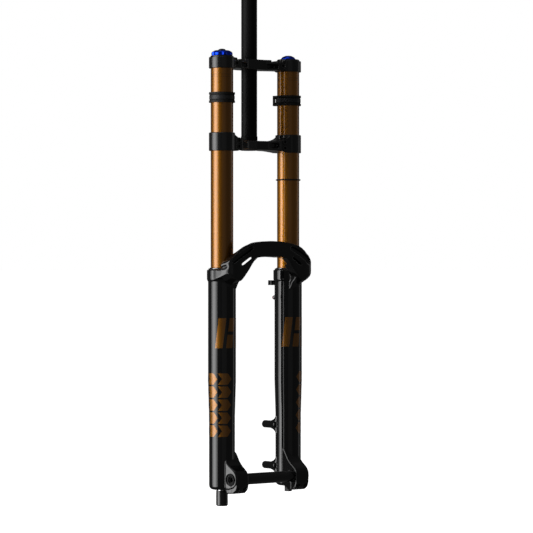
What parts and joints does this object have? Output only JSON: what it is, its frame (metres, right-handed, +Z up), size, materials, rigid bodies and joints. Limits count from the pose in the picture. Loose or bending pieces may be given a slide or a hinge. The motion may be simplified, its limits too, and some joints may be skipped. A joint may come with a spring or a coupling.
{
  "type": "dual-crown suspension fork",
  "caption": "Dual-crown downhill mountain-bike suspension fork with gold stanchions, black crowns and steerer, arched black lower legs, through axle and rear brake bosses.",
  "frame": {"origin": "on the steerer axis in the plane of the crown race seat, which is the top of the lower crown's centre", "axes": "+Z up the steerer, -Y the fork's front, +X the rider's left"},
  "size_m": [0.2066, 0.0986, 0.914],
  "materials": {
    "gloss_black_casting": "gloss black paint on cast light alloy",
    "black_anodised": "satin black anodised",
    "gold_hardcoat": "polished gold hard-anodised",
    "blue_anodised": "bright blue anodised",
    "red_anodised": "red anodised",
    "black_steel": "black oxide steel",
    "black_rubber": "matt black rubber",
    "black_plastic": "matt black nylon",
    "plain_aluminium": "machined aluminium",
    "bright_steel": "polished steel",
    "bronze_bushing": "bronze-backed bushing",
    "seal_foam": "oil-soaked open foam"
  },
  "bodies": {
    "crown_assembly": {"steerer": "black_anodised", "lower_crown": "black_anodised", "upper_crown": "black_anodised", "lower_crown_bolts": "black_steel", "upper_crown_bolts": "black_steel", "steerer_clamp_bolts": "black_steel", "stanchion_right": "gold_hardcoat", "stanchion_left": "gold_hardcoat", "frame_bumper_right": "black_rubber", "frame_bumper_left": "black_rubber", "bumper_strap_right": "black_plastic", "bumper_strap_left": "black_plastic", "damper_top_cap": "black_anodised", "damper_tube": "plain_aluminium", "compression_rod": "plain_aluminium", "base_valve": "plain_aluminium", "ifp_spring": "bright_steel", "damper_seal_head": "plain_aluminium", "air_top_cap": "black_anodised", "air_valve": "plain_aluminium", "volume_spacers": "black_plastic", "air_seal_head": "plain_aluminium", "seal_head_rings": "bright_steel"},
    "lowers": {"lower_legs": "gloss_black_casting", "wiper_seal_right": "black_rubber", "wiper_seal_left": "black_rubber", "garter_spring_right": "bright_steel", "garter_spring_left": "bright_steel", "foam_ring_right": "seal_foam", "foam_ring_left": "seal_foam", "upper_bushing_right": "bronze_bushing", "upper_bushing_left": "bronze_bushing", "lower_bushing_right": "bronze_bushing", "lower_bushing_left": "bronze_bushing", "damper_shaft": "bright_steel", "rebound_piston": "plain_aluminium", "foot_nut_right": "black_anodised", "foot_nut_left": "black_anodised", "crush_washers": "bright_steel", "air_shaft": "bright_steel", "air_piston": "plain_aluminium", "top_out_bumper": "black_rubber", "bottom_out_bumper": "black_rubber", "axle_pinch_bolts": "black_steel", "bleeder_body_right": "plain_aluminium", "bleeder_body_left": "plain_aluminium", "hose_guide": "black_plastic", "hose_guide_screw": "black_steel"},
    "high_speed_knob": {"high_speed_knob": "blue_anodised"},
    "low_speed_knob": {"low_speed_knob": "black_anodised"},
    "air_cap": {"air_cap": "blue_anodised"},
    "travel_ring": {"travel_ring": "black_rubber"},
    "floating_piston": {"floating_piston": "plain_aluminium"},
    "axle": {"axle": "black_anodised"},
    "rebound_cover": {"rebound_cover": "black_anodised"},
    "high_speed_rebound_knob": {"high_speed_rebound_knob": "blue_anodised"},
    "low_speed_rebound_knob": {"low_speed_rebound_knob": "red_anodised"},
    "bleeder_button_right": {"bleeder_button_right": "red_anodised"},
    "bleeder_button_left": {"bleeder_button_left": "red_anodised"}
  },
  "joints": [
    {"name": "fork_travel", "type": "slide", "parent": "crown_assembly", "child": "lowers", "axis": [0, 0, 1], "range_m": [0, 0.203], "stiffness_N_per_m": 7000, "springref_m": -0.015},
    {"name": "high_speed_dial", "type": "hinge", "parent": "crown_assembly", "child": "high_speed_knob", "pos_m": [-0.0765, -0.0177, 0.15], "axis": [0, 0, 1], "range_deg": [0, 240]},
    {"name": "low_speed_dial", "type": "hinge", "parent": "crown_assembly", "child": "low_speed_knob", "pos_m": [-0.0765, -0.0177, 0.16], "axis": [0, 0, 1], "range_deg": [0, 330]},
    {"name": "air_cap_lift", "type": "slide", "parent": "crown_assembly", "child": "air_cap", "axis": [0, 0, 1], "range_m": [0, 0.025]},
    {"name": "travel_ring_slide", "type": "slide", "parent": "crown_assembly", "child": "travel_ring", "axis": [0, 0, 1], "range_m": [0, 0.0465]},
    {"name": "floating_piston_slide", "type": "slide", "parent": "crown_assembly", "child": "floating_piston", "axis": [0, 0, 1], "range_m": [0, 0.026], "deforming": ["ifp_spring"]},
    {"name": "axle_pull", "type": "slide", "parent": "lowers", "child": "axle", "axis": [-1, 0, 0], "range_m": [0, 0.17]},
    {"name": "rebound_cover_pull", "type": "slide", "parent": "lowers", "child": "rebound_cover", "axis": [0, 0, -1], "range_m": [0, 0.03]},
    {"name": "high_speed_rebound_dial", "type": "hinge", "parent": "lowers", "child": "high_speed_rebound_knob", "pos_m": [-0.0765, -0.0177, -0.634], "axis": [0, 0, 1], "range_deg": [0, 240]},
    {"name": "low_speed_rebound_dial", "type": "hinge", "parent": "lowers", "child": "low_speed_rebound_knob", "pos_m": [-0.0765, -0.0177, -0.64], "axis": [0, 0, 1], "range_deg": [0, 330]},
    {"name": "bleeder_press_right", "type": "slide", "parent": "lowers", "child": "bleeder_button_right", "axis": [0, -1, 0], "range_m": [0, 0.0015], "stiffness_N_per_m": 400, "springref_m": -0.001},
    {"name": "bleeder_press_left", "type": "slide", "parent": "lowers", "child": "bleeder_button_left", "axis": [0, -1, 0], "range_m": [0, 0.0015], "stiffness_N_per_m": 400, "springref_m": -0.001}
  ],
  "couplings": [
    {"joint": "travel_ring_slide", "follows": "fork_travel", "ratio": 0.22906},
    {"joint": "floating_piston_slide", "follows": "fork_travel", "ratio": 0.128}
  ]
}
